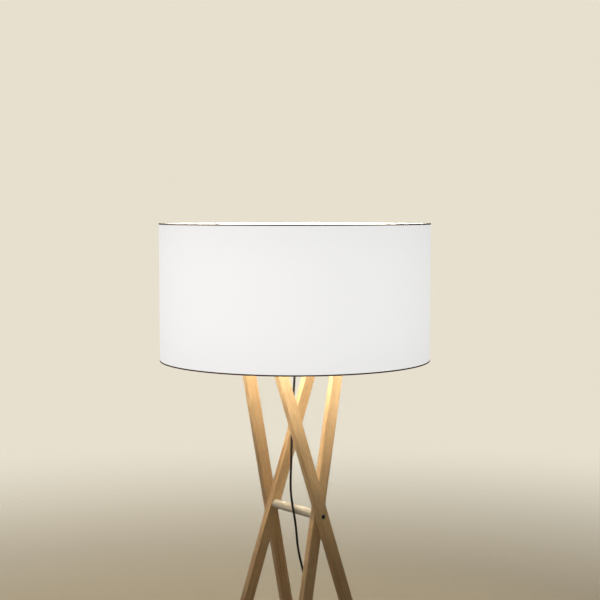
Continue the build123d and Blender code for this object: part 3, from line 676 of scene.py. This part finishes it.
edge = 0.0004                # rounding of the sheet's edges
skin = wrapped("shade_skin", [
    (SHADE_R, shade_low + edge, 0), (SHADE_R, shade_high - edge, 0), (SHADE_R - edge, shade_high, 0),
    (SHADE_R - WALL + edge, shade_high, 1), (SHADE_R - WALL, shade_high - edge, 1),
    (SHADE_R - WALL, shade_low + edge, 1), (SHADE_R - WALL + edge, shade_low, 0),
    (SHADE_R - edge, shade_low, 0)], 0, 2 * pi, SEGMENTS, (woven_white, lining))
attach(skin, "shade")
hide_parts("shade_drum")

half_seam = SEAM_WIDE / 2 / SHADE_R
seam = wrapped("shade_seam", [
    (SHADE_R - 0.0001, shade_low + 0.004, 0), (SHADE_R + 0.0003, shade_low + 0.0042, 0),
    (SHADE_R + 0.0003, shade_high - 0.0042, 0), (SHADE_R - 0.0001, shade_high - 0.004, 0)],
    SEAM_AT - half_seam, SEAM_AT + half_seam, 6, (woven_white,))
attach(seam, "shade")


# ---- Dark edge binding ----
# A narrow dark ribbon glued round the outside of each edge of the shade, lapped at the seam. The seam and
# the ribbons that are on the sheet are gathered in one list.

RIBBON_DARK = (0.24, 0.095, 0.10)
RIBBON_PROUD = 0.0005

ribbon, tree, shader = new_material("dark_ribbon", RIBBON_DARK, 0.62)
cloth = add_node(tree, "ShaderNodeUVMap", uv_map="cloth").outputs["UV"]
ribs = thread_wave(tree, cloth, "X", 0.0006)
tree.links.new(mixed(tree, ribs, tuple(0.6 * c for c in RIBBON_DARK), tuple(1.3 * c for c in RIBBON_DARK)),
               shader.inputs["Base Color"])
shader.inputs["Sheen Weight"].default_value = 0.25
raised(tree, shader, ribs, 0.0001)

on_sheet = [seam]
for name in ("top_trim", "bottom_trim"):
    low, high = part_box(name)[0][2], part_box(name)[1][2]
    outer = SHADE_R + RIBBON_PROUD
    binding = wrapped(name + "_ribbon", [
        (SHADE_R - 0.0001, low, 0), (outer - 0.0002, low, 0), (outer, low + 0.0004, 0),
        (outer, high - 0.0004, 0), (outer - 0.0002, high, 0), (SHADE_R - 0.0001, high, 0)],
        0, 2 * pi, SEGMENTS, (ribbon,))
    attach(binding, "shade")
    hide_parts(name)
    lap = wrapped(name + "_lap", [
        (SHADE_R, low + 0.0001, 0), (outer + 0.0001, low + 0.0002, 0), (outer + 0.0001, high - 0.0002, 0),
        (SHADE_R, high - 0.0001, 0)], SEAM_AT - half_seam, SEAM_AT + 0.4 * half_seam, 4, (ribbon,))
    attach(lap, "shade")
    on_sheet += [binding, lap]


# ---- Shade frame ----
# Round steel wire, welded and powder coated white: a ring in each edge, and three arms that drop from the
# top ring to a pierced hub on the post.

powder_white = worked("powder_white", (0.76, 0.76, 0.75), 0.42, 0.0, 420, 0.00006, tint=0.03)
dress(powder_white, "shade_spider", "bottom_ring")


# ---- Foot switch ----
# A black moulded foot switch in the cord: a base and a cover screwed together, a sprung round button with
# grip rings, and a ribbed strain relief at each end.

dress(moulded_black, "switch_base", "switch_cover", "switch_boots")
button_black = worked("button_black", (0.024, 0.024, 0.026), 0.34, 0.0, 1500)
dress(button_black, "switch_button")
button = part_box("switch_button")
button_x, button_y = (button[0][0] + button[1][0]) / 2, (button[0][1] + button[1][1]) / 2
button_rings = made_by(
    "button_rings", rings_along, "switch_button", "black_plastic", count=4, start=(0, 0, 0),
    end=(0, 0, 0.00001), start_radius=0.003, end_radius=0.009, thickness=0.0004,
    place=(button_x, button_y, button[1][2] - 0.0003), finish=button_black)
SPRING_WIRE = 0.00035        # half of the wire's thickness
spring_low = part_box("switch_spring")[0][2]
spring = made_by("return_spring", thread, "stand", "zinc_steel", turns=5, radius=0.0042, height=0.008,
                 thickness=SPRING_WIRE, place=(button_x, button_y, spring_low + SPRING_WIRE), finish=zinc)
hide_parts("switch_spring")
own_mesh(spring)
CORD_EXIT_HEIGHT = 0.009
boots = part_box("switch_boots")
for end_name, y, way in (("in", boots[0][1], 1), ("out", boots[1][1], -1)):
    made_by(
        "boot_ribs_" + end_name, rings_along, "stand", "black_plastic", count=7, start=(0, 0, 0.002),
        end=(0, 0, 0.019), start_radius=0.0042, end_radius=0.0052, thickness=0.0006,
        place=(button_x, y, CORD_EXIT_HEIGHT), turn=(-way * pi / 2, 0, 0), finish=moulded_black)


# ---- Plug ----
# A flat two-pin plug moulded on the cord, with a ribbed strain relief. Its nickel-plated pins wear a black
# sleeve for half of their length.

dress(moulded_black, "plug_body")
dress(nickel, "plug_pins")
plug_low, plug_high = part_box("plug_body")
plug_y, plug_z = (plug_low[1] + plug_high[1]) / 2, (plug_low[2] + plug_high[2]) / 2
plug_ribs = made_by(
    "plug_ribs", rings_along, "stand", "black_plastic", count=6, start=(0, 0, 0.003), end=(0, 0, 0.018),
    start_radius=0.0044, end_radius=0.0054, thickness=0.0006, place=(plug_high[0], plug_y, plug_z),
    turn=(0, -pi / 2, 0), finish=moulded_black)
PIN_FROM_MIDDLE = 0.0093
SLEEVE_OUTLINE = [(0.00195, 0), (0.00215, 0), (0.00215, 0.0098), (0.00195, 0.0102)]
for name, side in (("pin_sleeve_1", -1), ("pin_sleeve_2", 1)):
    sleeve = lathed(name, SLEEVE_OUTLINE)
    sleeve.data.transform(Matrix.Translation((plug_low[0], plug_y + side * PIN_FROM_MIDDLE, plug_z))
                          @ Matrix.Rotation(-pi / 2, 4, "Y"))
    sleeve.data.materials.append(moulded_black)
    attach(sleeve, "stand")


# ---- Cord from the head to the foot switch ----
# Round black mains cord, 6.4 mm across. It hangs from the gland in the middle of the head, swings past the
# left of the crosspiece, and comes down between the legs to the foot switch.

CORD_WIDTH = 0.0064
DROP_ROUTE = [
    (0, 0, 1.240), (0, 0, 1.190), (-0.005, 0.0015, 1.112), (-0.0115, 0.0005, 1.030),
    (-0.0155, -0.0035, 0.950), (-0.023, -0.007, 0.868), (-0.0215, -0.016, 0.818),
    (-0.0185, -0.0265, 0.768), (-0.017, -0.032, 0.702),
    (-0.004, -0.044, 0.632), (0.005, -0.051, 0.558), (0.023, -0.056, 0.480), (0.040, -0.055, 0.398),
    (0.054, -0.048, 0.314), (0.066, -0.041, 0.232), (0.078, -0.037, 0.156), (0.090, -0.034, 0.092),
    (0.103, -0.028, 0.044), (0.121, -0.015, 0.014), (0.139, 0.003, 0.004), (0.150, 0.023, 0.009),
    (0.150, 0.046, 0.009),
]


def cord_line(name, route):
    """A round cord as one smooth spline along its route."""
    curve = bpy.data.curves.new(name, "CURVE")
    curve.dimensions = "3D"
    curve.bevel_depth = CORD_WIDTH / 2
    curve.bevel_resolution = 5
    curve.use_fill_caps = True
    curve.resolution_u = 8
    spline = curve.splines.new("NURBS")
    spline.points.add(len(route) - 1)
    for point, place in zip(spline.points, route):
        point.co = (*place, 1)
    spline.order_u = 3
    spline.use_endpoint_u = True
    cord = bpy.data.objects.new(name, curve)
    scene.collection.objects.link(cord)
    return cord


SHEATH_BLACK = (0.013, 0.012, 0.012)
sheath, tree, shader = new_material("cord_sheath", SHEATH_BLACK, 0.50)
where = add_node(tree, "ShaderNodeTexCoord").outputs["Object"]
haze = noise(tree, where, 90, 4)
tree.links.new(remapped(tree, haze, 0, 1, 0.34, 0.56), shader.inputs["Roughness"])
relief = add_node(tree, "ShaderNodeBump", STRENGTH=0.25, DISTANCE=0.00005)
tree.links.new(noise(tree, where, 1400, 2), relief.inputs["Height"])
tree.links.new(relief.outputs["Normal"], shader.inputs["Normal"])

drop = cord_line("cord_to_switch", DROP_ROUTE)
drop.data.materials.append(sheath)
dress(sheath, "inner_lead")
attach(drop, "stand")
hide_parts("cord_drop")


# ---- Tie round the coil ----
# A soft black strap, 12 mm wide, wrapped once round the coil and fastened on itself.

strap, tree, shader = new_material("strap", (0.022, 0.021, 0.021), 0.88)
where = add_node(tree, "ShaderNodeTexCoord").outputs["Object"]
pile = noise(tree, where, 2600, 4, 0.8)
tree.links.new(mixed(tree, pile, (0.012, 0.012, 0.012), (0.05, 0.048, 0.046)), shader.inputs["Base Color"])
raised(tree, shader, pile, 0.0002)
shader.inputs["Sheen Weight"].default_value = 0.3

tie_low, tie_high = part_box("coil_tie")
middle = (Vector(tie_low) + Vector(tie_high)) / 2
half = (Vector(tie_high) - Vector(tie_low)) / 2
STRAP_THICK, STRAP_CORNER = 0.0008, 0.003


def rounded_loop(reach_y, reach_z, corner):
    """Points round a rectangle with round corners, as (y, z) about the middle."""
    points = []
    for quarter, (sy, sz) in enumerate(((1, 1), (-1, 1), (-1, -1), (1, -1))):
        for step in range(5):
            angle = (quarter + step / 4) * pi / 2
            points.append((sy * (reach_y - corner) + corner * cos(angle),
                           sz * (reach_z - corner) + corner * sin(angle)))
    return points


outer = rounded_loop(half.y, half.z, STRAP_CORNER)
inner = rounded_loop(half.y - STRAP_THICK, half.z - STRAP_THICK, STRAP_CORNER - STRAP_THICK)
points, faces = [], []
for x in (middle.x - half.x, middle.x + half.x):
    for loop in (outer, inner):
        points += [(x, middle.y + y, middle.z + z) for y, z in loop]
count = len(outer)
for i in range(count):
    j = (i + 1) % count
    faces += [(i, j, j + 2 * count, i + 2 * count), (j + count, i + count, i + 3 * count, j + 3 * count),
              (j, i, i + count, j + count), (i + 2 * count, j + 2 * count, j + 3 * count, i + 3 * count)]
mesh = bpy.data.meshes.new("coil_strap")
mesh.from_pydata(points, [], faces)
face_outward(mesh)
mesh.materials.append(strap)
coil_strap = bpy.data.objects.new("coil_strap", mesh)
scene.collection.objects.link(coil_strap)
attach(coil_strap, "stand")
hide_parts("coil_tie")


# ---- Cord from the foot switch to the plug ----
# The same cord goes on round the floor, five turns of it are put away in a neat coil in two layers, and a
# short end comes off the top of the coil to the plug.

COIL_MIDDLE = Vector((0.0, 0.225))
TRACKS = (0.041, 0.0345, 0.028)
LAYERS = (0.004, 0.0105)
STEPS_A_TURN = 16
# Angles round the coil, in turns, where the cord moves to the next track or climbs to the next layer.
CHANGES = [
    (0.78, 0.92, TRACKS[0], TRACKS[1]), (1.78, 1.92, TRACKS[1], TRACKS[2]),
    (3.36, 3.53, TRACKS[2], TRACKS[1]), (4.36, 4.53, TRACKS[1], TRACKS[0]),
]
CLIMB = (2.56, 2.75)
COIL_TURNS = 5


def eased(value, start, end):
    """0 before start, 1 after end, smooth between."""
    part = min(1, max(0, (value - start) / (end - start)))
    return part * part * (3 - 2 * part)


def coil_route():
    route = []
    for step in range(1, COIL_TURNS * STEPS_A_TURN):
        turn = step / STEPS_A_TURN
        track = TRACKS[0]
        for start, end, before, after in CHANGES:
            if turn >= start:
                track = before + (after - before) * eased(turn, start, end)
        level = LAYERS[0] + (LAYERS[1] - LAYERS[0]) * eased(turn, *CLIMB)
        angle = pi / 2 + 2 * pi * turn
        reach = track / cos(pi / STEPS_A_TURN)
        route.append((COIL_MIDDLE.x + reach * cos(angle), COIL_MIDDLE.y + reach * sin(angle), level))
    return route


FLOOR_ROUTE = [
    (0.150, 0.174, 0.009), (0.150, 0.197, 0.009), (0.145, 0.222, 0.0044), (0.127, 0.247, 0.0034),
    (0.098, 0.262, 0.0034), (0.065, 0.268, 0.0036), (0.033, 0.267, 0.004), (0.0, 0.266, 0.004),
]
TAIL_ROUTE = [
    (0.0, 0.266, 0.0105), (-0.020, 0.2665, 0.0102), (-0.038, 0.266, 0.0088), (-0.054, 0.262, 0.007),
    (-0.070, 0.262, 0.007),
]
to_plug = cord_line("cord_to_plug", FLOOR_ROUTE + coil_route() + TAIL_ROUTE)
to_plug.data.materials.append(sheath)
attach(to_plug, "stand")
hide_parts("cord_floor", "cord_coil", "cord_tail")
